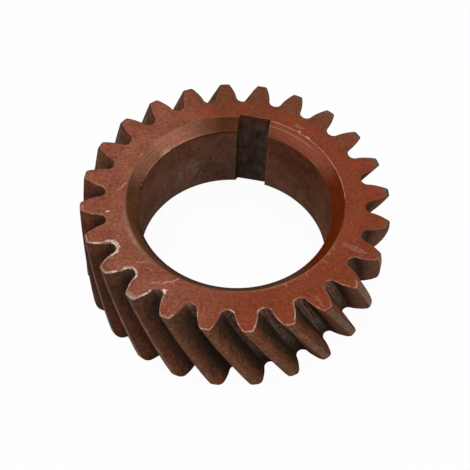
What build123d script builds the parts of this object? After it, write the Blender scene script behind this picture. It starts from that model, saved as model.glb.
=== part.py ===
"""Crankshaft timing gear: a one-piece helical ring gear, left hand, with a keyed bore.

Millimetres. The bore runs along +Z, the back face lies on Z = 0 and the keyway looks to +Y.
The gear is made as the real one is: a turned blank, a broached keyway, hobbed teeth, and a
burr taken off the ends of the teeth.
"""
from build123d import *
from math import atan, cos, degrees, pi, radians, sin, sqrt, tan
import os

os.makedirs("parts", exist_ok=True)

# Teeth: eight to the inch of normal pitch, full depth
teeth = 24
normal_module = 25.4 / 8
pressure_angle = radians(20)
helix_angle = radians(25)
flank_foot_radius = 39.6          # the working flank ends here, and the round root takes over

# Turned blank
face_width = 31.0
bore_diameter = 57.15             # 2 1/4 in
bore_chamfer = 3.5                # 45 degrees, on both ends
tip_chamfer = 0.8                 # 45 degrees, on both outer corners
end_chamfer = 0.3                 # the burr taken off along the ends of the teeth

# Keyway, through from face to face
key_width = 9.525                 # 3/8 in
keyway_floor = 32.1               # from the bore's axis to the keyway's flat floor
keyway_corner = 0.4               # radius the broach leaves beside the floor

# Tooth geometry in the plane across the axis
pitch_radius = teeth * normal_module / 2 / cos(helix_angle)
tip_radius = pitch_radius + normal_module
transverse_angle = atan(tan(pressure_angle) / cos(helix_angle))
base_radius = pitch_radius * cos(transverse_angle)
half_pitch = pi / teeth

# Helix: how far the teeth turn for each millimetre along the axis, and the height of one turn
turn_per_mm = tan(helix_angle) / pitch_radius
lead = 2 * pi / turn_per_mm

# The gap cutter runs past the metal at the tips and at both faces
overrun = 1.0
cut_bottom = -overrun
cut_top = face_width + overrun

# Half the angle of a gap on the base circle, where the involute starts
half_gap_at_base = half_pitch / 2 - (tan(transverse_angle) - transverse_angle)


def roll_at(radius):
    """Roll angle of the involute where it reaches a radius."""
    return sqrt((radius / base_radius) ** 2 - 1)


def flank_point(roll):
    """A point of the involute flank on the +Y side of the gap that opens along +X."""
    turn = half_gap_at_base + roll
    x = base_radius * (cos(turn) + roll * sin(turn))
    y = base_radius * (sin(turn) - roll * cos(turn))
    return (x, y)


# The root is one arc, centred where the normal of the flank's foot meets the gap's middle line
foot_roll = roll_at(flank_foot_radius)
foot_turn = half_gap_at_base + foot_roll
root_centre = base_radius / cos(foot_turn)
root_arc_radius = base_radius * (tan(foot_turn) - foot_roll)
root_radius = root_centre - root_arc_radius

# The flank, from its foot to just past the tip circle
flank_steps = 5
roll_step = (roll_at(tip_radius + overrun) - foot_roll) / flank_steps
upper_flank = [flank_point(foot_roll + roll_step * step) for step in range(flank_steps + 1)]
lower_flank = [(x, -y) for x, y in upper_flank]

print(f"pitch radius {pitch_radius:.3f}, tip radius {tip_radius:.3f}, base radius {base_radius:.3f}")
print(f"root radius {root_radius:.3f}, root arc {root_arc_radius:.3f}")
print(f"whole depth {tip_radius - root_radius:.3f}, lead {lead:.1f}")
print(f"turn over the face width {degrees(turn_per_mm * face_width):.2f} degrees")

# Cutter: the gap between two teeth, swept along the axis while the left-hand helix turns it
with BuildPart() as tooth_gap:
    with BuildSketch(Plane.XY.offset(cut_bottom)):
        with BuildLine():
            Spline(*upper_flank)
            Line(upper_flank[-1], lower_flank[-1])
            Spline(*lower_flank)
            ThreePointArc(upper_flank[0], (root_radius, 0), lower_flank[0])
        make_face()
    with BuildLine() as gear_axis:
        Line((0, 0, cut_bottom), (0, 0, cut_top))
    with BuildLine() as tooth_helix:
        Helix(lead, cut_top - cut_bottom, pitch_radius, center=(0, 0, cut_bottom), lefthand=True)
    sweep(path=gear_axis.wires()[0], binormal=tooth_helix.wires()[0])

# The middle of a tooth stands over the keyway on the front face, so the gaps start half a
# pitch beside it there, and further round at the cutter's foot
first_gap = 90 + degrees(half_pitch + turn_per_mm * (face_width - cut_bottom))

with BuildPart() as timing_gear:
    # Blank, turned with its bore and chamfers
    with BuildSketch(Plane.XZ) as blank_section:
        with Locations((bore_diameter / 2, 0)):
            Rectangle(tip_radius - bore_diameter / 2, face_width, align=(Align.MIN, Align.MIN))
        chamfer(blank_section.vertices().group_by(Axis.X)[0], bore_chamfer)
        chamfer(blank_section.vertices().group_by(Axis.X)[-1], tip_chamfer)
    revolve(axis=Axis.Z)

    # Keyway, broached through the bore's far side
    with BuildSketch() as keyway_section:
        Rectangle(key_width, keyway_floor, align=(Align.CENTER, Align.MIN))
        fillet(keyway_section.vertices().group_by(Axis.Y)[-1], keyway_corner)
    extrude(amount=face_width, mode=Mode.SUBTRACT)

    # Teeth, hobbed gap by gap
    with PolarLocations(0, teeth, start_angle=first_gap):
        add(tooth_gap.part, mode=Mode.SUBTRACT)

    # Burr taken off the ends of the teeth: flanks and roots, not the turned tips
    tooth_ends = [
        edge
        for face in timing_gear.faces().filter_by(Axis.Z)
        for edge in face.outer_wire().edges().filter_by(GeomType.CIRCLE, reverse=True)
    ]
    chamfer(tooth_ends, end_chamfer)

timing_gear.part.label = "timing_gear"
export_step(timing_gear.part, "parts/timing_gear.step")
print(f"volume {timing_gear.part.volume / 1000:.2f} cubic centimetres")
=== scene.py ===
# %% [markdown]
# A crankshaft timing gear: one ring of steel with 24 slanted teeth, a large bore and a keyway.
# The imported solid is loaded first. It says where the gear stands, and its box must not be left.
# Everything here is in metres, with the bore along Z and the back face on Z = 0.

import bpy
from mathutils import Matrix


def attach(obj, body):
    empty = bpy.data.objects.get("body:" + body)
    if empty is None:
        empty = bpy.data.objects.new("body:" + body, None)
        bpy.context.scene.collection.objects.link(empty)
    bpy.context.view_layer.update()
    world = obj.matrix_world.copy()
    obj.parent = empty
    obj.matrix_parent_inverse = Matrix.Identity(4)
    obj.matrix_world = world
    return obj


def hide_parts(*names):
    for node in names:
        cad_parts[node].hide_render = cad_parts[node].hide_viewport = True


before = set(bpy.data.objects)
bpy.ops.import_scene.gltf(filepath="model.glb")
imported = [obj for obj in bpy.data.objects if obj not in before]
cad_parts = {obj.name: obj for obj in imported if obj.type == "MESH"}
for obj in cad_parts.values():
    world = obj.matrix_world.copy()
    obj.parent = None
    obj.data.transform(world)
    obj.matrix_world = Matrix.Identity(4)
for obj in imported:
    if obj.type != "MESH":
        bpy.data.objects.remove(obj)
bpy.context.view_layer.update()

# %% [markdown]
# The camera comes first, because every later choice is judged through it. Its place, turn and lens
# were found by laying the gear over the photograph. It looks down by 53 degrees from the side that
# faces the keyway, with a long lens, and it is rolled a little.

# %% Place the camera
import bpy
from math import atan, cos, pi, radians, sin, sqrt, tan
from mathutils import Vector

MM = 0.001
face_width = 31 * MM

camera_place = Vector((33.494, -213.7, 316.472)) * MM
camera_turn = (0.6187655, -0.0246328, 0.1886964)  # radians about X, then Y, then Z
camera_lens = 94.164

camera_data = bpy.data.cameras.new("photo_camera")
camera_data.lens = camera_lens
camera_data.sensor_width = 36
camera_data.clip_start = 0.01
camera = bpy.data.objects.new("photo_camera", camera_data)
camera.location = camera_place
camera.rotation_euler = camera_turn
bpy.context.scene.collection.objects.link(camera)
bpy.context.scene.camera = camera
print("camera at", tuple(round(value, 4) for value in camera_place))

# %% [markdown]
# Node trees hold a lot of arithmetic here. A small helper lets a formula be written as a formula:
# each sum or product of two Numbers adds one Math node and links it. It works the same way in a
# geometry tree and in a material.

# %% A number that flows through a node tree


class Number:
    """The output of a node, on which + - * / add Math nodes."""

    def __init__(self, tree, socket):
        self.tree = tree
        self.socket = socket

    def math(self, operation, *others):
        node = self.tree.nodes.new("ShaderNodeMath")
        node.operation = operation
        for place, value in zip(node.inputs, (self, *others)):
            connect(self.tree, value, place)
        return Number(self.tree, node.outputs[0])

    def __add__(self, other):
        return self.math("ADD", other)

    def __sub__(self, other):
        return self.math("SUBTRACT", other)

    def __rsub__(self, other):
        return (self * -1) + other

    def __mul__(self, other):
        return self.math("MULTIPLY", other)

    def __truediv__(self, other):
        return self.math("DIVIDE", other)

    def __rtruediv__(self, other):
        return self.math("POWER", -1.0) * other

    def swing(self, amount):
        """A noise, which lies about 0.5, as a swing about 0."""
        return (self - 0.5) * amount

    def between(self, low, high):
        """0 below low, 1 above high, with a smooth step. With the larger value first it is the reverse."""
        node = self.tree.nodes.new("ShaderNodeMapRange")
        node.interpolation_type = "SMOOTHSTEP"
        for name, value in (("Value", self), ("From Min", low), ("From Max", high)):
            connect(self.tree, value, node.inputs[name])
        return Number(self.tree, node.outputs["Result"])

    __radd__ = __add__
    __rmul__ = __mul__


print("numbers can be written as formulas")

# %% [markdown]
# The other helpers add a node, fill its inputs by name, and link a Number or a socket where one is
# given instead of a plain value.

# %% Add and connect nodes


def length(*parts):
    """The length of a line from its parts along the axes."""
    return sum((part * part for part in parts[1:]), parts[0] * parts[0]).math("SQRT")


def connect(tree, value, place):
    """Links a Number or a socket to an input, or sets the input to a plain value."""
    if isinstance(value, Number):
        value = value.socket
    if isinstance(value, bpy.types.NodeSocket):
        tree.links.new(value, place)
    else:
        place.default_value = value


def add_node(tree, kind, inputs=(), **settings):
    """Adds a node, sets its options, and fills its inputs by name or by number."""
    node = tree.nodes.new(kind)
    for name, value in settings.items():
        setattr(node, name, value)
    for name, value in dict(inputs).items():
        connect(tree, value, node.inputs[name])
    return node


def made(tree, kind, inputs=(), **settings):
    """Adds a node and gives its first output."""
    return add_node(tree, kind, inputs, **settings).outputs[0]


def vector(tree, x=0.0, y=0.0, z=0.0):
    """A vector made of three numbers."""
    return made(tree, "ShaderNodeCombineXYZ", {"X": x, "Y": y, "Z": z})


print("helpers for node trees are ready")

# %% [markdown]
# The sizes of the teeth follow from a few values, as on a gear drawing: the count, the normal
# module, the pressure angle and the helix angle. The flank is an involute, the curve that the end
# of a taut string draws while it is unwound from the base circle. The root is one round arc.

# %% Sizes from the gear drawing
teeth = 24
normal_module = 25.4 / 8 * MM
helix_angle = radians(25)
pressure_angle = radians(20)
flank_foot_radius = 39.6 * MM
bore_radius = 57.15 / 2 * MM
bore_chamfer = 3.5 * MM
key_width = 9.525 * MM
keyway_floor = 32.1 * MM
keyway_corner = 0.4 * MM

pitch_radius = teeth * normal_module / 2 / cos(helix_angle)
tip_radius = pitch_radius + normal_module
transverse_angle = atan(tan(pressure_angle) / cos(helix_angle))
base_radius = pitch_radius * cos(transverse_angle)
half_pitch = pi / teeth
half_gap_at_base = half_pitch / 2 - (tan(transverse_angle) - transverse_angle)
foot_roll = sqrt((flank_foot_radius / base_radius) ** 2 - 1)
foot_turn = half_gap_at_base + foot_roll
root_centre = base_radius / cos(foot_turn)
root_arc_radius = base_radius * (tan(foot_turn) - foot_roll)
turn_per_metre = tan(helix_angle) / pitch_radius
print("tip radius", round(tip_radius / MM, 3), "base radius", round(base_radius / MM, 3))

# %% [markdown]
# The section of the ring is a closed loop of rows, walked as a lathe tool would walk it: out over
# the back face, up the teeth, in over the front face, and down the bore. A toothed row has the
# radius of its tips and an inset that pares the flanks back. Near both ends the tips draw in and
# the flanks are pared along quarter rounds, which gives the small worn bevel at the tooth ends. The
# lower end of the teeth is worn rounder than the upper one. A round row has one radius. Rows stand
# close together beside an edge, so that wear can follow it.

# %% List the rows of the section
section_rows = []
far_from_ends = 6 * MM  # round rows lie so far from the tooth ends that no wear reaches them


def toothed_row(zone, height, tip, inset, rim):
    """A row that follows the teeth, and how far it lies from the edge of the tooth ends."""
    section_rows.append((zone, height, tip, inset, tip, 1.0, rim))


def round_row(zone, height, radius):
    """A row that is a circle, far from the edge of the tooth ends."""
    section_rows.append((zone, height, tip_radius, 0.0, radius, 0.0, far_from_ends))


def quarter_round(depth, size):
    """How far a quarter round of this size draws in at a depth below the face."""
    rest = max(0.0, 1 - depth / size)
    return size * (1 - sqrt(1 - rest * rest))


def end_row(zone, depth, tip_round, flank_round, from_top):
    """A row on the rounded end of the teeth, a small depth below the front or above the back face."""
    height = face_width - depth if from_top else depth
    tip = tip_radius - quarter_round(depth, tip_round)
    toothed_row(zone, height, tip, quarter_round(depth, flank_round), max(0.0, depth - flank_round))


print("rows are toothed or round")

# %% [markdown]
# Now the walk round the section. The sizes come first: how far the worn ends are rounded, at the
# tip and along the flank, and how many rows each stretch has.

# %% Walk round the section
edge_steps = (0.0, 0.25 * MM, 0.6 * MM, 1.1 * MM)
end_depths = [share * MM for share in (0.03, 0.1, 0.22, 0.4, 0.7, 1.1, 1.5)]
lower_rounds = (1.5 * MM, 0.2 * MM)
upper_rounds = (0.5 * MM, 0.28 * MM)
worn_depth = 0.15 * MM
rows_along_tooth = 28
rows_down_bore = 8
rows_down_chamfer = 3
chamfer_rim = bore_radius + bore_chamfer
face_radii = (chamfer_rim, 34.5 * MM, 36.3 * MM)

# Back face, from the bore's lower chamfer outwards
for ring_radius in face_radii:
    round_row("face", 0, ring_radius)
for step in reversed(edge_steps):
    toothed_row("face", 0, tip_radius - lower_rounds[0] - step, lower_rounds[1] + step, step)
# Up the teeth, from the lower end to the upper one
for depth in end_depths:
    end_row("end" if depth < worn_depth else "tooth", depth, *lower_rounds, from_top=False)
for row in range(1, rows_along_tooth):
    height = end_depths[-1] + (face_width - 2 * end_depths[-1]) * row / rows_along_tooth
    toothed_row("tooth", height, tip_radius, 0, min(height, face_width - height) - upper_rounds[1])
for depth in reversed(end_depths):
    end_row("end" if depth < worn_depth else "tooth", depth, *upper_rounds, from_top=True)
# Front face, inwards to the bore's upper chamfer
for place, step in enumerate(edge_steps):
    zone = "face" if place else "end"
    toothed_row(zone, face_width, tip_radius - upper_rounds[0] - step, upper_rounds[1] + step, step)
for ring_radius in reversed(face_radii):
    round_row("face", face_width, ring_radius)
# Down the bore
for row in range(1, rows_down_chamfer + 1):
    drop = bore_chamfer * row / rows_down_chamfer
    round_row("chamfer", face_width - drop, chamfer_rim - drop)
for row in range(1, rows_down_bore + 1):
    share = row / rows_down_bore
    round_row("bore", face_width - bore_chamfer - share * (face_width - 2 * bore_chamfer), bore_radius)
for row in range(1, rows_down_chamfer + 1):
    rise = bore_chamfer * (1 - row / rows_down_chamfer)
    round_row("chamfer", rise, bore_radius + bore_chamfer - rise)
print(len(section_rows), "rows in the section")

# %% [markdown]
# The ring is a main piece whose shape follows a rule, so Geometry Nodes make it. The tree starts
# from a flat grid: one column for each point of the tooth outline, one row for each row of the
# section. Formulas then say where each point goes. The section's rows come in as a small mesh of
# loose points that carries their values.

# %% Put the section's rows into a mesh
row_names = ("height", "tip", "inset", "round_radius", "toothed", "rim")
row_mesh = bpy.data.meshes.new("timing_gear_form")
row_mesh.from_pydata([(0, 0, row[1]) for row in section_rows], [], [])
for place, name in enumerate(row_names, start=1):
    values = row_mesh.attributes.new(name, "FLOAT", "POINT")
    values.data.foreach_set("value", [row[place] for row in section_rows])
gear = bpy.data.objects.new("timing_gear_form", row_mesh)
bpy.context.scene.collection.objects.link(gear)
print(gear.name, "carries", ", ".join(row_names))

# %% [markdown]
# Finishes are only named here, so that the tree can lay them on the right faces. Their nodes are
# built further down.

# %% Name the finishes
finish_names = (
    "coated_face", "worn_end", "cut_tooth", "tooth_land", "bore_chamfer", "bored_wall", "broached_keyway",
)
finishes = {name: bpy.data.materials.new(name) for name in finish_names}
print("finishes:", ", ".join(finish_names))

# %% [markdown]
# Named inputs hold the sizes. An input is set on the modifier by its socket's identifier, before
# the object is first evaluated.

# %% Start the tree and its inputs
tree = bpy.data.node_groups.new("toothed_ring", "GeometryNodeTree")
tree.interface.new_socket("Rows", in_out="INPUT", socket_type="NodeSocketGeometry")
tree.interface.new_socket("Ring", in_out="OUTPUT", socket_type="NodeSocketGeometry")
ring_sizes = {
    "Base radius": base_radius,
    "Half gap at base": half_gap_at_base,
    "Foot turn": foot_turn,
    "Root centre": root_centre,
    "Root arc radius": root_arc_radius,
    "Turn per metre": turn_per_metre,
    "Face width": face_width,
    "Corner rounding": 0.45 * MM,
    "Lower rounding": 0.4 * MM,
    "Key width": key_width,
    "Keyway floor": keyway_floor,
    "Keyway corner": keyway_corner,
}
ring_sockets = {
    name: tree.interface.new_socket(name, in_out="INPUT", socket_type="NodeSocketFloat").identifier
    for name in ring_sizes
}
group_input = tree.nodes.new("NodeGroupInput")
size = {name: Number(tree, group_input.outputs[name]) for name in ring_sizes}
print(len(ring_sizes), "named sizes")

# %% [markdown]
# Each half pitch has the same columns: some on the root arc, some on the flank, a few round the
# corner at the tip and a few on the land. The column number tells which tooth gap a point belongs
# to, which side of it, and how far it is from the gap's middle.

# %% Number the columns and rows of the grid
root_columns = 8
flank_columns = 12
corner_columns = 4
land_columns = 4
half_columns = root_columns + flank_columns + corner_columns + land_columns
column_count = 2 * half_columns * teeth + 1
row_count = len(section_rows) + 1

grid = add_node(tree, "GeometryNodeMeshGrid", {
    "Size X": column_count - 1, "Size Y": row_count - 1,
    "Vertices X": column_count, "Vertices Y": row_count,
})
position = made(tree, "GeometryNodeInputPosition")
grid_place = add_node(tree, "ShaderNodeSeparateXYZ", {"Vector": position})
column = Number(tree, grid_place.outputs["X"]) + (column_count - 1) / 2
row = Number(tree, grid_place.outputs["Y"]) + (row_count - 1) / 2
pitch_columns = 2 * half_columns
nudge = 0.001  # keeps a gap's first column from being rounded into the gap before
gap_number = ((column + nudge) / pitch_columns).math("FLOOR")
signed_step = column - gap_number * pitch_columns - half_columns
side = signed_step.math("SIGN")
step = signed_step.math("ABSOLUTE")
print(column_count, "columns by", row_count, "rows")

# %% [markdown]
# Two things are asked of the grid again and again: which of two values holds at a point, and what
# the section's row of this point carries.

# %% Choose a value, read a row


def pick(condition, if_true, if_false):
    """One of two Numbers, by a Number that is 0 or 1."""
    node = add_node(tree, "GeometryNodeSwitch", input_type="FLOAT")
    for name, value in (("Switch", condition), ("True", if_true), ("False", if_false)):
        connect(tree, value, node.inputs[name])
    return Number(tree, node.outputs[0])


def row_value(name):
    """The value that the row of this point carries."""
    named = add_node(tree, "GeometryNodeInputNamedAttribute", {"Name": name}, data_type="FLOAT")
    whole_row = (row + 0.5).math("FLOOR").math("MODULO", row_count - 1)
    sample = add_node(tree, "GeometryNodeSampleIndex", data_type="FLOAT", domain="POINT")
    tree.links.new(group_input.outputs["Rows"], sample.inputs["Geometry"])
    tree.links.new(named.outputs["Attribute"], sample.inputs["Value"])
    tree.links.new(whole_row.socket, sample.inputs["Index"])
    return Number(tree, sample.outputs[0])


height, tip, inset = row_value("height"), row_value("tip"), row_value("inset")
print("each point knows its height, tip radius and inset")

# %% [markdown]
# The outline of a tooth gap, seen along the bore, starts with the root arc in the gap's middle.

# %% Root arc
root_share = step / root_columns
arc_angle = root_share * (pi / 2 - size["Foot turn"])
arc_radius = size["Root arc radius"] + inset
root_x = size["Root centre"] - arc_radius * arc_angle.math("COSINE")
root_y = arc_radius * arc_angle.math("SINE")
print("root arc over", root_columns, "columns")

# %% [markdown]
# On the flank the taut string leaves the base circle at an angle, here called turn, and the
# string's length there gives the point. An inset only makes the string shorter, because curves at a
# fixed distance from an involute are involutes of the same circle. The flank ends where the tip's
# corner is rounded, which is more so at the lower end of the tooth.

# %% Involute flank
base = size["Base radius"]
tip_string = (tip * tip - base * base).math("SQRT")
corner_turn = size["Half gap at base"] + (tip_string + inset) / base
rounding = size["Corner rounding"] + size["Lower rounding"] * (1 - height.between(0, 4 * MM))


def string_end(turn):
    """Where the taut string ends, and its length, when it leaves the base circle at a turn."""
    string = base * (turn - size["Half gap at base"]) - inset
    across, along = turn.math("SINE"), turn.math("COSINE")
    return base * along + string * across, base * across - string * along, string


flank_share = (step - root_columns) / flank_columns
flank_end = corner_turn - rounding / tip_string
flank_turn = size["Foot turn"] + (flank_end - size["Foot turn"]) * flank_share
flank_x, flank_y, flank_string = string_end(flank_turn)
print("involute over", flank_columns, "columns")

# %% [markdown]
# The rounded corner is a curve that the sharp corner pulls on. The land is a round stretch from
# there to the middle of the tooth.

# %% Corner and land
before_x, before_y, _ = string_end(flank_end)
corner_x, corner_y, _ = string_end(corner_turn)
corner_angle = corner_turn - (tip_string / base).math("ARCTANGENT")
land_angle = corner_angle + rounding / tip
after_x, after_y = tip * land_angle.math("COSINE"), tip * land_angle.math("SINE")
corner_share = (step - (root_columns + flank_columns)) / corner_columns
rest = 1 - corner_share


def pulled(start, corner, end):
    """A point on the curve from start to end that leans to the corner."""
    return rest * rest * start + rest * corner_share * 2 * corner + corner_share * corner_share * end


rounded_x, rounded_y = pulled(before_x, corner_x, after_x), pulled(before_y, corner_y, after_y)
land_share = (step - (root_columns + flank_columns + corner_columns)) / land_columns
half_angle = land_angle + (half_pitch - land_angle) * land_share
land_x, land_y = tip * half_angle.math("COSINE"), tip * half_angle.math("SINE")

on_root = step.math("LESS_THAN", root_columns + 0.5)
on_flank = step.math("LESS_THAN", root_columns + flank_columns + 0.5)
on_corner = step.math("LESS_THAN", root_columns + flank_columns + corner_columns + 0.5)
outline_x = pick(on_root, root_x, pick(on_flank, flank_x, pick(on_corner, rounded_x, land_x)))
outline_y = pick(on_root, root_y, pick(on_flank, flank_y, pick(on_corner, rounded_y, land_y)))
print("outline formulas use", len(tree.nodes), "nodes so far")

# %% [markdown]
# The outline is turned into a radius and an angle. A round row keeps the angle and takes its own
# radius. Then each row is turned about the bore by as much as the helix turns at its height, which
# slants the teeth: going up, they turn clockwise seen from above. The middle of one tooth stands
# over the keyway on the front face.

# %% Turn the outline by the helix
outline_radius = length(outline_x, outline_y)
outline_angle = outline_y.math("ARCTAN2", outline_x) * side
toothed = row_value("toothed")
own_radius = row_value("round_radius")
radius = own_radius + (outline_radius - own_radius) * toothed
first_gap = pi / 2 + half_pitch
angle = (
    outline_angle + gap_number * (2 * half_pitch) + first_gap
    + (size["Face width"] - height) * size["Turn per metre"]
)
new_place = vector(tree, radius * angle.math("COSINE"), radius * angle.math("SINE"), height)

# %% [markdown]
# Wear follows edges, and scratches from the cutter follow the slanted teeth. So each point stores
# its distance from the tooth's tip corner and from the tooth's end, and its place across the tooth
# and along it, in millimetres. It also stores on which side of its gap it lies, since many teeth
# are worn on one side only. The materials read these values.

# %% Store what the materials need
per_mm = 1 / MM
gaps_apart = 37  # millimetres, so that no gap repeats the strokes of the one before
flank_length = (flank_string * flank_string) / (base * 2)
tip_length = (tip_string * tip_string) / (base * 2)
root_length = arc_radius * arc_angle
foot_string = base * (size["Foot turn"] - size["Half gap at base"])
foot_length = (foot_string * foot_string) / (base * 2)
arc_length = arc_radius * (pi / 2 - size["Foot turn"])
past_corner = (outline_angle.math("ABSOLUTE") - corner_angle) * tip
across = pick(on_root, root_length, pick(
    on_flank, arc_length + flank_length - foot_length, arc_length + tip_length - foot_length + past_corner,
))
corner_gap = pick(on_root, arc_length - root_length + tip_length - foot_length, pick(
    on_flank, tip_length - flank_length, past_corner.math("ABSOLUTE"),
))
stored_values = {
    "tip_gap": corner_gap * per_mm,
    "end_gap": row_value("rim") * per_mm,
    "across": across * side * per_mm + gap_number * gaps_apart,
    "along": height * per_mm,
    "gap_side": side,
}
print("stored on the mesh:", ", ".join(stored_values))

# %% [markdown]
# Finishes are laid on while the grid is still flat, because there a zone is just a range of row and
# column numbers. Then the values are stored, the points are moved, and the seams are merged so
# that the ring is closed.

# %% Lay on the finishes, move the points, close the seams
zone_of_row = [row[0] for row in section_rows]
flow = grid.outputs["Mesh"]


def lay_on(flow, finish, selection):
    """Sets a finish on the selected faces and passes the mesh on."""
    inputs = {"Geometry": flow, "Selection": selection, "Material": finishes[finish]}
    return made(tree, "GeometryNodeSetMaterial", inputs)


def row_range(low, high):
    """1 where a face lies between two rows."""
    return row.math("GREATER_THAN", low) * row.math("LESS_THAN", high)


def first_row(zone):
    return zone_of_row.index(zone)


def last_row(zone):
    return len(zone_of_row) - 1 - zone_of_row[::-1].index(zone)


on_teeth = row_range(first_row("tooth") - 1, last_row("tooth"))
land_start = root_columns + flank_columns + corner_columns - 1
bore_start, bore_end = first_row("bore") - 1, last_row("bore")
for finish, selection in (
    ("coated_face", True),
    ("worn_end", row_range(first_row("end") - 1, last_row("end"))),
    ("cut_tooth", on_teeth),
    ("tooth_land", on_teeth * step.math("GREATER_THAN", land_start)),
    ("bore_chamfer", row_range(first_row("chamfer") - 1, bore_start)),
    ("bored_wall", row_range(bore_start, bore_end)),
    ("bore_chamfer", row_range(bore_end, row_count - 1)),
):
    flow = lay_on(flow, finish, selection)
for name, value in stored_values.items():
    inputs = {"Geometry": flow, "Name": name, "Value": value}
    flow = made(tree, "GeometryNodeStoreNamedAttribute", inputs, data_type="FLOAT", domain="CORNER")
flow = made(tree, "GeometryNodeSetPosition", {"Geometry": flow, "Position": new_place})
seam_reach = 0.002 * MM
ring = made(tree, "GeometryNodeMergeByDistance", {"Geometry": flow, "Distance": seam_reach})
print("finishes laid on, seams closed")

# %% [markdown]
# The keyway is cut as the broach cuts it: a bar with two rounded corners is pushed through, and an
# exact boolean takes its room out of the ring.

# %% Cut the keyway
bar_height = 12 * MM
overrun = 1 * MM
bar_section = made(tree, "GeometryNodeCurvePrimitiveQuadrilateral", {
    "Width": size["Key width"], "Height": bar_height,
})
bar_section = made(tree, "GeometryNodeFilletCurve", {
    "Curve": bar_section, "Count": 4, "Radius": size["Keyway corner"],
}, mode="POLY")
bar_line = made(tree, "GeometryNodeCurvePrimitiveLine", {
    "Start": (0, 0, -overrun), "End": vector(tree, z=size["Face width"] + overrun),
})
bar = made(tree, "GeometryNodeCurveToMesh", {
    "Curve": bar_line, "Profile Curve": bar_section, "Fill Caps": True,
})
bar = made(tree, "GeometryNodeTransform", {
    "Geometry": lay_on(bar, "broached_keyway", True),
    "Translation": vector(tree, y=size["Keyway floor"] - bar_height / 2),
})
flow = made(
    tree, "GeometryNodeMeshBoolean", {"Mesh 1": ring, "Mesh 2": bar},
    operation="DIFFERENCE", solver="EXACT",
)

# %% [markdown]
# Last in the tree come smooth shading with sharp edges kept sharp, Realize Instances, and a Set
# Material of the coated finish that selects no faces.

# %% Shade, realize and end the tree
sharp_angle = radians(32)
edge_angle = Number(tree, tree.nodes.new("GeometryNodeInputMeshEdgeAngle").outputs["Unsigned Angle"])
for domain, selection, is_smooth in (
    ("FACE", True, True), ("EDGE", edge_angle.math("GREATER_THAN", sharp_angle), False),
):
    flow = made(tree, "GeometryNodeSetShadeSmooth", {
        "Geometry": flow, "Selection": selection, "Shade Smooth": is_smooth,
    }, domain=domain)
flow = lay_on(made(tree, "GeometryNodeRealizeInstances", {"Geometry": flow}), "coated_face", False)
tree.links.new(flow, tree.nodes.new("NodeGroupOutput").inputs["Ring"])

forming = gear.modifiers.new("toothed_ring", "NODES")
forming.node_group = tree
for name, value in ring_sizes.items():
    forming[ring_sockets[name]] = value

evaluated = gear.evaluated_get(bpy.context.evaluated_depsgraph_get())
gear_mesh = bpy.data.meshes.new_from_object(evaluated)
bpy.data.objects.remove(gear)
timing_gear = bpy.data.objects.new("timing_gear_dressed", gear_mesh)
bpy.context.scene.collection.objects.link(timing_gear)
while None in gear_mesh.materials[:]:
    gear_mesh.materials.pop(index=gear_mesh.materials[:].index(None))
print("vertices", len(gear_mesh.vertices), "faces", len(gear_mesh.polygons))
print("finishes on the mesh:", ", ".join(finish.name for finish in gear_mesh.materials))

# %% [markdown]
# Now the finishes. The real gear was turned, bored, broached and hobbed, and then given a thin
# red-brown protective coat. It is matt on the faces, half gone in the bore and on the flanks, and
# rubbed through to pale steel along the edges. Colours are written as they look on a screen and
# turned into the linear values that a shader wants. Every shader tree starts from the place on the
# gear, so a small class holds that place and the noises and stored values that go with it.

# %% Colours, and the place on the gear


def paint(red, green, blue):
    """A screen colour, 0 to 255, as the linear colour a shader takes."""
    def linear(value):
        value = value / 255
        return value / 12.92 if value <= 0.04045 else ((value + 0.055) / 1.055) ** 2.4
    return (linear(red), linear(green), linear(blue), 1.0)


def scaled(tree, vector, factor):
    """A vector made longer, or a colour made brighter, by a factor."""
    return made(tree, "ShaderNodeVectorMath", {0: vector, "Scale": factor}, operation="SCALE")


def strongest(masks):
    """The strongest of several masks at each point."""
    result, *others = masks
    for mask in others:
        result = result.math("MAXIMUM", mask)
    return result


class Surface:
    """A shader tree with the place on the gear, in millimetres."""

    def __init__(self, tree):
        self.tree = tree
        self.point = scaled(tree, tree.nodes.new("ShaderNodeTexCoord").outputs["Object"], per_mm)
        parts = add_node(tree, "ShaderNodeSeparateXYZ", {"Vector": self.point})
        self.x, self.y, self.z = (Number(tree, parts.outputs[axis]) for axis in "XYZ")
        self.radius = length(self.x, self.y)

    def noise(self, scale, detail=3.0, roughness=0.55, at=None):
        """Cloudy noise from 0 to 1, about 0.5 on average."""
        return Number(self.tree, made(self.tree, "ShaderNodeTexNoise", {
            "Vector": self.point if at is None else at,
            "Scale": scale, "Detail": detail, "Roughness": roughness,
        }))

    def stored(self, name):
        """A value that the mesh carries."""
        node = add_node(self.tree, "ShaderNodeAttribute", attribute_name=name)
        return Number(self.tree, node.outputs["Fac"])


print("colours and places are ready")

# %% [markdown]
# Effects that several finishes share are node groups, built once. Numbers with names go in and one
# mask comes out.

# %% Start an effect


class Effect(Surface):
    """A shader node group with named numbers going in and one mask coming out."""

    def __init__(self, name, **inputs):
        group = bpy.data.node_groups.new(name, "ShaderNodeTree")
        super().__init__(group)
        for label, value in inputs.items():
            socket = group.interface.new_socket(label, in_out="INPUT", socket_type="NodeSocketFloat")
            socket.default_value = value
        group.interface.new_socket("Mask", in_out="OUTPUT", socket_type="NodeSocketFloat")
        way_in = group.nodes.new("NodeGroupInput")
        self.given = {label: Number(group, way_in.outputs[label]) for label in inputs}

    def done(self, mask):
        """Sends the mask to the group's output."""
        connect(self.tree, mask, self.tree.nodes.new("NodeGroupOutput").inputs["Mask"])
        print("group", self.tree.name)


print("effects can be started")

# %% [markdown]
# The first effect is a worn line along an edge. Its noise makes the line ragged and breaks it up,
# as handling does.

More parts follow.
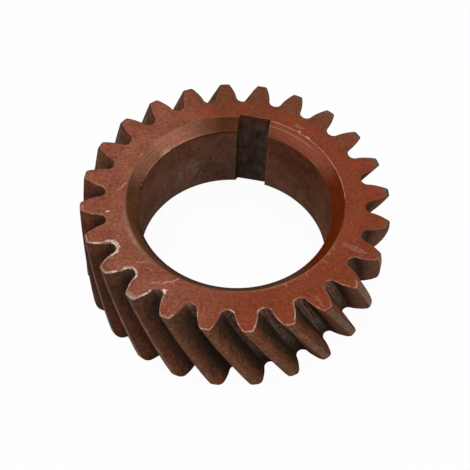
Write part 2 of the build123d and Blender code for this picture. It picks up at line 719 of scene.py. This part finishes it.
# %% Worn line
worn_line = Effect("worn_line", Distance=0.0, Width=0.3, Ragged=0.6, Amount=0.5, Grain=1.2)
given = worn_line.given
fine = worn_line.noise(given["Grain"], 4, 0.65)
coarse = worn_line.noise(given["Grain"] * 0.16, 2)
reach = given["Width"] * (1 + fine.swing(4) * given["Ragged"])
threshold = given["Amount"] * -0.3 + 0.62
kept = (coarse * 0.6 + fine * 0.4).between(threshold, threshold + 0.08)
worn_line.done(given["Distance"].between(reach, reach * 0.6) * kept)

# %% [markdown]
# Turned and bored surfaces carry fine rings that the tool left. Noise that changes quickly with the
# radius and the height, and hardly at all round the axis, gives rings of uneven depth.

# %% Tool rings
tool_rings = Effect("tool_rings", Spacing=0.3, Drift=0.02)
spacing, drift = tool_rings.given["Spacing"], tool_rings.given["Drift"]
stretched = vector(
    tool_rings.tree, tool_rings.radius / spacing + tool_rings.x * drift,
    tool_rings.z / spacing, tool_rings.y * drift,
)
tool_rings.done(tool_rings.noise(1.0, 2, 0.7, at=stretched))

# %% [markdown]
# Specks of dust, rust and lost coat are small cells of a Voronoi pattern. A random value for each
# cell leaves most of them out and gives the rest different sizes.

# %% Specks
specks = Effect("specks", Spacing=1.0, Size=0.2, Share=0.2)
tree, given = specks.tree, specks.given
shrunk = scaled(tree, specks.point, 1 / given["Spacing"])
cells = add_node(tree, "ShaderNodeTexVoronoi", {"Vector": shrunk, "Scale": 1.0})
lot = Number(tree, made(tree, "ShaderNodeSeparateColor", {0: cells.outputs["Color"]}))
chosen = lot.math("LESS_THAN", given["Share"])
spot_size = given["Size"] / given["Spacing"] * (1.15 - lot / given["Share"])
specks.done(Number(tree, cells.outputs["Distance"]).between(spot_size, spot_size * 0.6) * chosen)

# %% [markdown]
# The hob and the years leave strokes along each tooth. They are noise in the tooth's own places,
# across and along, which the mesh carries, drawn out along the tooth.

# %% Tooth strokes
tooth_strokes = Effect("tooth_strokes", Across=0.3, Along=6.0, Seed=0.0)
given = tooth_strokes.given
stroke_place = vector(
    tooth_strokes.tree, tooth_strokes.stored("across") / given["Across"],
    tooth_strokes.stored("along") / given["Along"], given["Seed"],
)
tooth_strokes.done(tooth_strokes.noise(1.0, roughness=0.6, at=stroke_place))

# %% [markdown]
# A scratch or a scuff lies along a short line on a face, told by its two ends. The group measures
# how far a point is from that line. One noise bends the line a little, and a finer one breaks it up
# into flecks, wholly so where Break is 1.

# %% Scratch
scratch = Effect("scratch", X1=0.0, Y1=0.0, X2=1.0, Y2=0.0, Width=0.3, Break=0.5)
x1, y1, x2, y2, line_width, line_break = scratch.given.values()
bend = scratch.noise(0.5, 2)
fleck = scratch.noise(3.2, roughness=0.7)
from_x, from_y = scratch.x + bend.swing(1.1) - x1, scratch.y - bend.swing(1.3) - y1
run_x, run_y = x2 - x1, y2 - y1
passed = (from_x * run_x + from_y * run_y) / (run_x * run_x + run_y * run_y)
passed = passed.math("MAXIMUM", 0.0).math("MINIMUM", 1.0)
off_x, off_y = from_x - passed * run_x, from_y - passed * run_y
reach = line_width * (0.75 + fleck.swing(2.5))
whole = length(off_x, off_y).between(reach, reach * 0.2)
scratch.done(whole * (fleck.between(0.42, 0.70) * line_break + (1 - line_break)))

# %% [markdown]
# A few rust pits are large enough to have a place of their own. The group measures how far a point
# is from a pit's centre, and a little noise keeps the pit from being round.

# %% Pit
pit = Effect("pit", X=0.0, Y=0.0, Z=0.0, Size=0.4)
pit_x, pit_y, pit_z, pit_size = pit.given.values()
off_centre = length(pit.x - pit_x, pit.y - pit_y, pit.z - pit_z)
pit.done((off_centre + pit.noise(2.2, 2).swing(0.8)).between(pit_size, pit_size * 0.4))

# %% [markdown]
# Much differs from one side of the gear to the other: the left is paler, partly from dust and partly
# from a painted sheen, oil and painted shade darken the near teeth, and the teeth on the near left
# were knocked most. A side is told by its azimuth, counted from +X towards +Y: the right is 0, the
# keyway 90, the left 180 and the near side 270. Its mask is 1 there and fades out round the ring.
#
# Each finish is one Principled shader. Tones are laid over one another through masks, as a painter
# would do it. The masks come from the groups, and the shader itself stays in the material.

# %% Start a finish


class Finish(Surface):
    """A finish while it is built, with the colour laid on so far."""

    def __init__(self, name, specular=0.0):
        finishes[name].use_nodes = True
        tree = finishes[name].node_tree
        tree.nodes.clear()
        super().__init__(tree)
        self.name = name
        self.shader = tree.nodes.new("ShaderNodeBsdfPrincipled")
        self.shader.inputs["Specular IOR Level"].default_value = specular
        output = tree.nodes.new("ShaderNodeOutputMaterial")
        tree.links.new(self.shader.outputs[0], output.inputs["Surface"])

    def use(self, effect, **values):
        """Places an effect in this finish with values of its own."""
        node = self.tree.nodes.new("ShaderNodeGroup")
        node.node_tree = effect.tree
        for label, value in values.items():
            connect(self.tree, value, node.inputs[label])
        return Number(self.tree, node.outputs["Mask"])

    def side(self, azimuth, fade_from, fade_to):
        """1 within fade_from degrees of the azimuth, seen from the bore, and 0 past fade_to degrees."""
        along = self.x * cos(radians(azimuth)) + self.y * sin(radians(azimuth))
        return (along / self.radius).between(cos(radians(fade_to)), cos(radians(fade_from)))

    def mix(self, share, tone_a, tone_b):
        """Tone A where share is 0, tone B where it is 1. A tone is a screen colour or a mix."""
        node = add_node(self.tree, "ShaderNodeMix", data_type="RGBA", clamp_factor=True)
        for place, value in ((0, share), (6, tone_a), (7, tone_b)):
            connect(self.tree, paint(*value) if isinstance(value, tuple) else value, node.inputs[place])
        return node.outputs[2]

    def lay(self, share, tone):
        """Lays a tone over the colour so far, through a mask."""
        self.colour = self.mix(share, self.colour, tone)

    def shade(self, level):
        """Makes the colour so far darker or lighter."""
        self.colour = scaled(self.tree, self.colour, level)

    def done(self, roughness, relief, depth, metallic=0.0):
        """Connects the colour, the roughness, the relief (depth in millimetres) and the metal share."""
        bump = made(self.tree, "ShaderNodeBump", {"Height": relief, "Distance": depth * MM})
        for name, value in (
            ("Base Color", self.colour), ("Roughness", roughness), ("Metallic", metallic), ("Normal", bump),
        ):
            connect(self.tree, value, self.shader.inputs[name])
        print("finish", self.name)


print("finishes can be started")

# %% [markdown]
# Three things are seen in more than one finish. The ends of the teeth are worn all round on the near
# left. On the rest of the near side the left of each gap is worn, or the right, or just the roots or
# the tips. The lands have the same tone up to the flanks' corners. And rust pits lie on both sides
# of the edge where the bore's wall meets its chamfer.

# %% What several finishes have in common


def edge_wear(finish):
    """How far the ends of the teeth are worn, from 0 to 1."""
    side, radius = finish.side, finish.radius
    on_left = finish.stored("gap_side") * 0.5 + 0.5
    return strongest((
        side(226, 14, 25),
        on_left * side(280, 50, 75) * 0.65,
        (1 - on_left) * side(192, 12, 26) * 0.45,
        (1 - on_left) * side(297, 14, 26) * 0.62,
        side(291, 8, 15) * radius.between(40.2, 38.8) * 0.85,
        side(263, 8, 14) * radius.between(42.4, 43.8) * 0.5,
    ))


def land_tone(finish):
    """The colour of a tooth's land away from its middle, by side and height."""
    tone = finish.mix(finish.side(335, 12, 36), (99, 61, 43), (90, 63, 44))
    tone = finish.mix(finish.side(218, 24, 46), tone, (84, 54, 42))
    return finish.mix(finish.side(30, 32, 52) * finish.z.between(29.5, 30.4), tone, (78, 64, 49))


bore_pits = (
    # x, y, z, size
    (-28.7, 0.8, 27.6, 0.72), (-28.5, -0.9, 27.2, 0.60), (-28.7, 2.8, 27.6, 0.50),
    (-27.9, -6.2, 27.4, 0.60), (-27.4, 8.0, 27.4, 0.36), (-26.4, 10.8, 27.4, 0.30),
    (-12.5, 25.7, 15.0, 0.44),
)


def lay_pits(finish):
    """Lays the bore's rust pits over a finish."""
    for x, y, z, pit_width in bore_pits:
        finish.lay(finish.use(pit, X=x, Y=y, Z=z, Size=pit_width) * 0.95, (34, 18, 12))


print(len(bore_pits), "rust pits in the bore")

# %% [markdown]
# The scratches and scuffs on the front face stand where the photograph shows them, in millimetres
# from the bore's axis.

# %% Scratches on the front face
scratches = (
    # x1, y1, x2, y2, width, break, strength
    (-14.4, -33, -10.1, -30.4, 0.34, 0.4, 0.6), (-13.4, -32.4, -11.8, -31.5, 0.34, 0.2, 0.6),
    # the marks of strength 1 near (-13, -35) are a worn spot with a painted glint
    (-17.2, -33.3, -15.6, -32.8, 0.6, 0.8, 0.6), (-13.4, -34.9, -13, -35.9, 0.58, 0, 1),
    (-13.7, -35.5, -12.7, -35.1, 0.46, 0, 1), (-22.6, -27.4, -20.2, -26.7, 0.9, 1, 0.4),
    (-19.8, -28.6, -17.6, -29.6, 0.6, 1, 0.35), (-34.4, -4.1, -32.5, -0.6, 0.36, 0.6, 0.6),
    (-34, -3.4, -32.6, -0.6, 0.8, 1, 0.35), (-31, 9.6, -30.2, 10.9, 0.26, 0.5, 0.36),
    (-35.7, -12.2, -34.9, -11.8, 0.45, 0.2, 0.95), (-32.4, -26.2, -29.6, -27.6, 0.9, 1, 0.4),
    (-33.4, -24.6, -31.2, -24, 1, 0.8, 0.4), (-27.5, -17.2, -24.3, -21.2, 1.5, 1, 0.35),
    (33.8, -9.8, 35, -9.6, 0.4, 0.9, 0.36), (36.8, -9.8, 39.7, -11, 0.5, 0.9, 0.38),
    (30.5, -11, 30.8, -11.8, 0.5, 0.8, 0.3), (29.4, -13.6, 29.7, -13.9, 0.7, 0.9, 0.28),
    (28.4, -16.2, 29, -16.5, 0.6, 0.9, 0.28), (24.2, -21.6, 24.6, -22.2, 0.5, 0.8, 0.3),
    (28, -28.4, 30.4, -31.2, 0.7, 1, 0.26), (33.6, -9.5, 38.2, -11.2, 1.5, 1, 0.28),
    (19.2, -26.2, 19.4, -26.8, 0.4, 0.6, 0.36), (38, -21.2, 39.1, -22.4, 0.7, 0.8, 0.5),
    (14, 29.4, 14.4, 29.1, 0.5, 0.4, 0.8), (16.5, 27.9, 17.6, 27, 0.4, 0.5, 0.8),
    (12.8, 31.4, 14.8, 30.6, 1.2, 1, 0.3), (-43.3, -11.3, -42.5, -11.8, 0.5, 0.7, 0.8),
    (-40.9, 14.7, -40.3, 14, 0.34, 0.6, 0.5), (-38.1, 6.3, -37.5, 5.5, 0.3, 0.6, 0.5),
)
print(len(scratches), "scratches")

# %% [markdown]
# The two faces were turned flat, then coated. The coat is matt and red-brown, with faint turning
# rings under it. On the left it is paler, partly from dust and partly from a painted sheen. Some
# tips are dirty, brown or grey.

# %% Coated face: coat and dust
coat = Finish("coated_face", specular=0.05)
side, radius = coat.side, coat.radius
clouds, patches = coat.noise(0.16), coat.noise(0.45, roughness=0.6)
mottle = coat.noise(1.1, 4, 0.65)
grain = coat.noise(2.6, 2, 0.6)
rings = coat.use(tool_rings, Spacing=0.5, Drift=0.03)

tint = coat.noise(0.2, 4, 0.6).swing(3) + 0.5
coat.colour = coat.mix(tint, (126, 62, 33), (129, 58, 40))
# paler on the left: dust, and a painted sheen as from the lamp behind on the left
dust_and_sheen = side(195, 56, 94) * (0.5 + mottle.swing(1.2) + clouds.swing(1))
coat.lay(dust_and_sheen, coat.mix(tint, (143, 92, 69), (145, 89, 73)))
bare_teeth = side(80, 25, 50) * radius.between(36, 39)
coat.lay(bare_teeth * (clouds * 0.8 + 0.25), (102, 68, 48))
coat.lay(side(97, 8, 24) * 0.5, (102, 56, 34))
dirty_tips = side(30, 32, 52) * (radius + mottle.swing(2)).between(42.8, 44.4)
coat.lay(dirty_tips * 0.8, (100, 82, 60))
coat.lay(side(227, 6, 12) * radius.between(42.6, 44.2) * 0.5, (104, 66, 48))
coat.lay(side(239, 2, 5) * radius.between(43.2, 44.2) * 0.6, (156, 136, 118))
coat.shade(0.93 + mottle.swing(1.2) + grain.swing(0.55) + rings.swing(0.4) + clouds.swing(0.5))
print("coat and dust laid")

# %% [markdown]
# Specks lie all over the coat, dark ones of rust and pale ones of dust and lost coat.

# %% Coated face: specks
dark_specks = coat.use(specks, Spacing=1.5, Size=0.3, Share=0.35)
coat.lay(dark_specks * 0.55, (72, 40, 28))
pale_specks = coat.use(specks, Spacing=1.8, Size=0.28, Share=0.3)
coat.lay(pale_specks * (0.25 + side(222, 10, 70) * 0.45 + side(325, 20, 60) * 0.3), (190, 142, 122))
flecks = coat.use(specks, Spacing=0.8, Size=0.2, Share=0.4)
coat.lay(flecks * (side(318, 22, 45) * 0.4 + 0.12), (182, 118, 90))
print("specks laid")

# %% [markdown]
# Round the bore's chamfer the rim is greyed, dirty or rubbed by turns.

# %% Coated face: rim
from_rim = (radius - chamfer_rim * per_mm).math("ABSOLUTE")
greyed = side(217, 14, 24) * (0.6 + patches.swing(1.6) + grain.swing(2.4))
coat.lay(greyed * from_rim.between(1.5, 0.3), (136, 110, 90))
coat.lay(from_rim.between(0.6, 0.1) * side(250, 35, 60) * 0.5, (96, 56, 34))
pale_sides = side(292, 10, 24) * 0.6 + side(320, 14, 32) * 0.55 + side(82, 3, 9) * 0.6
coat.lay(from_rim.between(0.5, 0.15) * pale_sides * (0.6 + grain.swing(2.6)), (154, 104, 80))
rim_amount = side(50, 34, 48) * 0.7 + side(300, 40, 60) * 0.15
rim_wear = coat.use(worn_line, Distance=from_rim, Width=0.13, Ragged=0.5, Amount=rim_amount, Grain=0.8)
coat.lay(rim_wear * 0.3, (186, 132, 106))
print("rim laid")

# %% [markdown]
# Pale steel shows along the tooth ends where the coat has been knocked off, widest beside two of the
# roots. The scratches come last, on the front face alone, and the strongest of them are whitened
# further into a painted glint.

# %% Coated face: worn ends and scratches
beside_root = radius.between(41.0, 39.2) * (side(217, 5, 12) + side(234, 3, 12) * 0.4)
end_wear = coat.use(
    worn_line, Distance=coat.stored("end_gap"), Width=0.13 + beside_root * 0.8, Ragged=1.1,
    Amount=edge_wear(coat) * 0.55 + beside_root * 0.3, Grain=2.4,
)
coat.lay(end_wear * (0.35 + grain.between(0.36, 0.60) * 0.6), (222, 206, 188))
on_front = coat.z.math("GREATER_THAN", face_width * per_mm / 2)
marks_and_glint = on_front * strongest(
    coat.use(scratch, X1=x1, Y1=y1, X2=x2, Y2=y2, Width=width, Break=flecked) * strength
    for x1, y1, x2, y2, width, flecked, strength in scratches
)
coat.lay(marks_and_glint, (226, 190, 168))
# the strongest marks get a painted white glint
coat.lay((marks_and_glint - 0.9) * 10, (240, 228, 214))
coat.done(0.48 + mottle * 0.15, relief=rings * 0.4 + mottle * 0.8 - dark_specks - marks_and_glint * 2, depth=0.015)

# %% [markdown]
# The small bevels at the tooth ends are where the gear gets knocked and rubbed. On the near left
# some of their coat is gone and pale steel shows. Round the near side it is thin, and on the far
# side they only look dark, since dirt sits on them.

# %% Worn tooth ends
bevel = Finish("worn_end", specular=0.05)
fine = bevel.noise(1.5, 4, 0.7)
wear = edge_wear(bevel) * (0.55 + fine.swing(2.2) + bevel.noise(0.3, 2).swing(2.2))
bevel.colour = bevel.mix(bevel.side(30, 40, 60), (66, 42, 31), (56, 46, 35))
bevel.lay(bevel.side(265, 70, 100), (116, 68, 50))
bevel.lay(wear * 1.5, (186, 138, 118))
bevel.lay((wear - 0.5) * 2.5, (224, 208, 194))
bevel.lay(bevel.side(234, 8, 16) * bevel.radius.between(42.6, 43.8) * 0.6, (150, 136, 120))
bevel.done(0.45, relief=fine, depth=0.05)

# %% [markdown]
# Flanks and roots were cut by the hob after turning. The coat ran thin and brown here. The near
# right keeps more red high up, the left is rusty and the far left is dusty.

# %% Cut tooth: coat
flank = Finish("cut_tooth")
side, radius, z = flank.side, flank.radius, flank.z
strokes = flank.use(tooth_strokes, Across=0.35, Along=7.0, Seed=1.0)
clouds = flank.noise(0.16)
stain = flank.noise(0.8, 4, 0.65)
grain = flank.noise(2.4, 2, 0.6)

flank.colour = flank.mix(side(310, 15, 42), (86, 54, 40), (100, 64, 44))
flank.lay(side(0, 18, 45), (112, 76, 60))
red_top = z.between(25.5, 29.0) * radius.between(44.0, 42.8)
dusty = radius.between(41.0, 42.6) * (1 - red_top)
flank.lay(side(143, 22, 42), flank.mix(dusty, (106, 66, 50), (106, 84, 70)))
rusty = side(245, 30, 65) * z.between(15, 3) + side(190, 10, 35) * 0.85
flank.lay(rusty * (0.35 + clouds.swing(2)), (112, 58, 42))
warm_top = side(299, 22, 34) * z.between(16, 24) * radius.between(39, 41)
flank.lay(warm_top * 0.5, (122, 62, 36))
flank.lay(side(203, 10, 20) * z.between(18, 9) * 0.6, (88, 70, 52))
print("coat of the flanks laid")

# %% [markdown]
# Oil has blackened the near teeth from the roots up, and the darkening there is partly painted
# shade in the roots. On the root floors the hob's strokes still show as grey metal, and further
# round the roots are darkened too, partly by dirt and partly by painted shade.

# %% Cut tooth: oil, painted root shade and root floors
# oil, and painted shade in the roots, darken the near teeth from the roots up
oil_and_shade_line = radius + clouds.swing(3) + stain.swing(1.5) - z.between(12, 26) * 0.8
oil_and_root_shade = (oil_and_shade_line - side(277, 24, 40) * 1.4).between(43.4, 39.8) * side(278, 32, 88)
flank.lay(oil_and_root_shade * (0.9 + clouds.swing(0.8)), flank.mix(side(242, 12, 32), (50, 41, 32), (72, 50, 41)))
root_floor = (radius + stain.swing(0.6)).between(39.2, 38.4)
floor_strokes = flank.use(tooth_strokes, Across=0.2, Along=14.0, Seed=4.0)
scraped = (floor_strokes * 0.8 + stain * 0.2).between(0.45, 0.54)
grey_floor = root_floor * (0.08 + scraped * 0.92) * side(300, 55, 90) * z.between(2, 13)
flank.lay(grey_floor, flank.mix(z.between(14, 25), (104, 92, 80), (120, 87, 75)))
rust_spot = side(276, 4, 12) * z.between(10, 13) * z.between(23, 18)
flank.lay(root_floor * rust_spot, (120, 76, 60))
# darker towards the roots on the left and on the right: dirt, and painted shade in the roots
flank.lay(side(188, 9, 20) * radius.between(42.6, 39.8) * 0.4, (58, 44, 32))
flank.lay(side(5, 20, 40) * radius.between(42, 39) * 0.6, (60, 46, 35))
print("oil and root floors laid")

# %% [markdown]
# The tip corners take the tone of the lands. Then come the grain, the pits, which are thickest on
# the root floors, and the rubbed ends.

# %% Cut tooth: corners, pits and ends
flank.lay(flank.stored("tip_gap").between(0.9, 0.1) * 0.8, land_tone(flank))
flank.shade(1 + stain.swing(1.8) + strokes.swing(1.1) + grain.swing(0.7) + clouds.swing(0.5))
large_pits = flank.use(specks, Spacing=1.7, Size=0.34, Share=0.3)
flank.lay(large_pits * (0.25 + root_floor * 0.65), (28, 22, 18))
fine_pits = flank.use(specks, Spacing=0.8, Size=0.26, Share=0.35)
flank.lay(fine_pits * root_floor * 0.6, (36, 28, 24))
end_wear = flank.use(
    worn_line, Distance=flank.stored("end_gap"), Width=0.12, Ragged=1.0,
    Amount=edge_wear(flank) * 0.5, Grain=1.2,
)
flank.lay(end_wear * 0.6, (170, 126, 106))
flank.done(0.6, relief=strokes + stain * 0.8, depth=0.05)

# %% [markdown]
# The lands are the turned outside of the blank. Their coat is thin and dull. On the near left a
# pale stripe runs down the middle, partly rubbed coat and partly a painted highlight along the
# rounded tip, and on the near right the coat is grainy.

# %% Tooth lands
land = Finish("tooth_land", specular=0.02)
side, z = land.side, land.z
rings = land.use(tool_rings, Spacing=0.25, Drift=0.05)
patches = land.noise(0.3, 4, 0.6)
stain = land.noise(0.9, 4, 0.65)
grain = land.noise(2.4, 2, 0.6)
middle = land.stored("tip_gap").between(0.8, 1.15)
# a pale stripe down the middle of the near-left lands: rubbed coat, and a painted highlight on the rounded
# tip
rub_and_highlight = middle * (0.9 + patches.swing(1.6)) * (1 - z.between(14, 25) * 0.5)
land.colour = land.mix(side(221, 24, 46) * rub_and_highlight, land_tone(land), (144, 108, 86))
light_patches = (patches * 0.4 + stain * 0.3 + grain * 0.3).between(0.42, 0.64)
land.lay(side(300, 40, 70) * light_patches * 0.5, (128, 88, 64))
land.shade(1 + stain.swing(1.4) + patches.swing(0.6) + grain.swing(1))
land.shade(0.98 + side(322, 20, 40) * land.noise(2.9, roughness=0.75).swing(2.6))
spots = land.use(specks, Spacing=0.9, Size=0.24, Share=0.4)
land.lay(spots * side(310, 40, 70) * 0.4, (50, 36, 28))
land.done(0.48, relief=rings + stain, depth=0.02)

# %% [markdown]
# The bore's chamfer was turned last and is the smoothest place. On the far left its coat is rubbed
# off and it mirrors the lamp, and the lamp's reflection, streaked along the turning rings, is painted
# into its colour as well. Further round it is olive with old oil, and on its right the coat has
# stayed, in a deeper red.

# %% Bore chamfer: coat
chamfer = Finish("bore_chamfer")
side = chamfer.side
rings = chamfer.use(tool_rings, Spacing=0.3, Drift=0.05)
clouds, hatch = chamfer.noise(0.16), chamfer.noise(2.6, roughness=0.7)
stain = chamfer.noise(0.9, 4, 0.65)
from_rim = (chamfer.radius - chamfer_rim * per_mm).math("ABSOLUTE")

chamfer.colour = chamfer.mix(side(90, 30, 60), (83, 53, 33), (89, 51, 31))
chamfer.lay(side(260, 40, 60) * from_rim.between(1.8, 0.6), (100, 64, 42))
# the front lamp's reflection on the far left, painted into the colour where the bare steel also mirrors it,
# with streaks along the turning rings
chamfer.lay(side(145, 8, 38), (146, 93, 72))
chamfer.lay(side(147, 8, 28) * (rings.swing(2.1) + stain.swing(0.9) + 0.1), (164, 122, 104))
chamfer.lay(side(56, 13, 36) * (1 - from_rim.between(1.4, 3.4) * 0.3), (140, 75, 57))
chamfer.lay(side(356, 20, 48), (98, 36, 11))
# the painted reflection is toned down at its edge towards the keyway and along the rim
painted_highlight_trim = side(120, 6, 24) * 0.2 + from_rim.between(0.4, 0.1) * side(130, 15, 30) * 0.15
chamfer.shade(1 + rings.swing(0.9) + stain.swing(0.8) + hatch.swing(0.9) + clouds.swing(0.7) - painted_highlight_trim)
print("coat of the chamfer laid")

# %% [markdown]
# On the near side the inner part of the chamfer is darkened, a painted shade. Dots lie along its
# inner edge on the far left, beside a small painted glint. Its rim is a pale or rubbed line, with a
# second line inside it on the far right, and rust pits lie at the wall.

# %% Bore chamfer: edges
# painted shade: the inner part of the chamfer on the near side is darkened
chamfer.lay(side(252, 40, 62) * from_rim.between(2.0, 3.2), (58, 38, 27))
inner_dots = chamfer.use(specks, Spacing=1.1, Size=0.4, Share=0.5)
chamfer.lay(inner_dots * from_rim.between(2.6, 3.0) * side(162, 16, 26) * 0.8, (62, 30, 20))
glint = from_rim.between(2.4, 3.0) * side(147, 1.5, 4.5) * hatch.between(0.4, 0.6)
chamfer.lay(glint * 0.6, (206, 176, 156))
rim_amount = side(45, 38, 50) * 0.7
rim_wear = chamfer.use(worn_line, Distance=from_rim, Width=0.15, Ragged=0.5, Amount=rim_amount, Grain=0.8)
chamfer.lay(rim_wear * 0.95, (196, 142, 116))
inner_line = (from_rim - 1.15).math("ABSOLUTE").between(0.2, 0.05)
chamfer.lay(inner_line * side(68, 12, 22) * 0.5, (185, 128, 104))
rim_line = from_rim.between(0.4, 0.15)
chamfer.lay(rim_line * (side(275, 60, 90) * 0.7 + side(175, 12, 30) * 0.4), (150, 112, 92))
chamfer.lay(rim_line * side(103, 8, 16) * 0.5, (160, 104, 68))
lay_pits(chamfer)
roughness = 0.36 + stain.swing(0.2) + rings.swing(0.3)
chamfer.done(roughness, relief=rings + stain * 0.4, depth=0.012, metallic=side(149, 8, 32) * 0.35)

# %% [markdown]
# The bore's wall is bored smooth and is dull brown all over, redder near the top, with fine rings,
# a few dark specks and pits, a dark line under the chamfer on the far left, and a grey scuff low
# there.

# %% Bored wall
wall = Finish("bored_wall")
side, z = wall.side, wall.z
rings = wall.use(tool_rings, Spacing=0.18, Drift=0.03)
clouds = wall.noise(0.14, 4)
stain = wall.noise(0.8, 4, 0.65)
upper = z.between(4, 27)
left_wall = wall.mix(upper, (100, 72, 59), (101, 66, 50))
right_wall = wall.mix(upper, (124, 86, 68), (109, 64, 46))
wall.colour = wall.mix(side(40, 50, 62), left_wall, right_wall)
wall.lay(side(107, 4, 14) * (1 - upper) * 0.7, (80, 56, 46))
wall.shade(1 + clouds.swing(1.3) + rings.swing(0.9) + stain.swing(1.5))
top_line = z.between(26.7, 27.1) * side(128, 30, 44)
wall.lay(top_line * (0.6 + stain.swing(2)), (46, 22, 12))
scuff = side(131, 4, 12) * z.between(8, 11) * z.between(18.0, 13.5)
wall.lay(scuff * (0.45 + stain.swing(3)) * 0.5, (138, 116, 106))
wall.lay(wall.use(specks, Spacing=2.2, Size=0.3, Share=0.25) * 0.6, (52, 34, 28))
lay_pits(wall)
wall.done(0.5, relief=rings + clouds, depth=0.012)

# %% [markdown]
# The broach was pulled through along the bore, so the keyway's marks run up and down. It is the
# darkest place, with old oil in its corners.

# %% Broached keyway
keyway = Finish("broached_keyway")
drawn_out = vector(keyway.tree, keyway.x * 2.6, keyway.y * 2.6, keyway.z * 0.3)
broach_lines = keyway.noise(1.0, at=drawn_out)
clouds = keyway.noise(0.3, 4, 0.6)
keyway.colour = keyway.mix(keyway.x.between(0.0, 4.4), (72, 56, 48), (106, 88, 74))
keyway.lay(keyway.z.between(25, 30), (80, 48, 36))
on_left_wall = keyway.x.between(-4.6, -4.72)
keyway.lay(on_left_wall, (56, 41, 30))
keyway.shade(1 + broach_lines.swing(1.3) + clouds.swing(2.2))
keyway.lay(keyway.use(specks, Spacing=2.0, Size=0.4, Share=0.3) * 0.6, (34, 24, 20))
keyway.done(0.5, relief=broach_lines, depth=0.03)

# %% [markdown]
# The floor is a large pale sheet. What the camera or a reflection sees of it is nearly white, and a
# share of it still takes the object's shadow.

# %% Lay the floor
floor_size = 6.0
floor_mesh = bpy.data.meshes.new("floor")
reach = floor_size / 2
corners = [(-reach, -reach, 0), (reach, -reach, 0), (reach, reach, 0), (-reach, reach, 0)]
floor_mesh.from_pydata(corners, [], [(0, 1, 2, 3)])
floor = bpy.data.objects.new("floor", floor_mesh)
bpy.context.scene.collection.objects.link(floor)
floor_paper = bpy.data.materials.new("floor_paper")
floor_paper.use_nodes = True
tree = floor_paper.node_tree
tree.nodes.clear()
paper = made(tree, "ShaderNodeBsdfDiffuse", {"Color": paint(232, 232, 232)})
white = made(tree, "ShaderNodeEmission", {"Color": (1, 1, 1, 1), "Strength": 1.0})
ray = tree.nodes.new("ShaderNodeLightPath")
rays = ("Is Camera Ray", "Is Glossy Ray", "Is Transmission Ray")
seen = strongest(Number(tree, ray.outputs[name]) for name in rays)
whiteness = 0.96
mixed = made(tree, "ShaderNodeMixShader", {0: seen * whiteness, 1: paper, 2: white})
tree.links.new(mixed, tree.nodes.new("ShaderNodeOutputMaterial").inputs["Surface"])
floor_mesh.materials.append(floor_paper)
print("floor", floor_size, "m wide")

# %% [markdown]
# The light is soft. A pale sky fills all sides. One wide lamp stands in front on the right, low
# enough for the far left of the chamfer to mirror it. Another hangs behind on the left, which puts
# a faint sheen on the left of the front face, and a third is overhead.

# %% Light the scene
world = bpy.data.worlds.new("pale_sky")
world.use_nodes = True
sky = world.node_tree.nodes["Background"]
sky.inputs["Color"].default_value = (1, 1, 1, 1)
sky.inputs["Strength"].default_value = 0.35
bpy.context.scene.world = world


def soft_lamp(name, azimuth, elevation, width, height, power, distance=0.6):
    """A flat lamp that looks at the gear. Azimuth is counted from +X towards +Y."""
    lamp_data = bpy.data.lights.new(name, "AREA")
    lamp_data.shape = "RECTANGLE"
    lamp_data.size = width
    lamp_data.size_y = height
    lamp_data.energy = power
    turn, rise = radians(azimuth), radians(elevation)
    towards = Vector((cos(rise) * cos(turn), cos(rise) * sin(turn), sin(rise)))
    lamp = bpy.data.objects.new(name, lamp_data)
    lamp.location = Vector((0, 0, face_width)) + towards * distance
    lamp.rotation_euler = towards.to_track_quat("Z", "Y").to_euler()  # its width stays level
    bpy.context.scene.collection.objects.link(lamp)


soft_lamp("lamp_front_right", azimuth=-35, elevation=31, width=0.6, height=0.28, power=1.5)
soft_lamp("lamp_back_left", azimuth=128, elevation=55, width=0.4, height=0.4, power=1.2)
soft_lamp("lamp_overhead", azimuth=200, elevation=80, width=0.4, height=0.4, power=1.2)
bpy.context.scene.view_settings.view_transform = "Standard"
print("three lamps and a pale sky")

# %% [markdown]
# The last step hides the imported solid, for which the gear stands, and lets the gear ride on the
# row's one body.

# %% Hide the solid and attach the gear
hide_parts("timing_gear")
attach(timing_gear, "root")
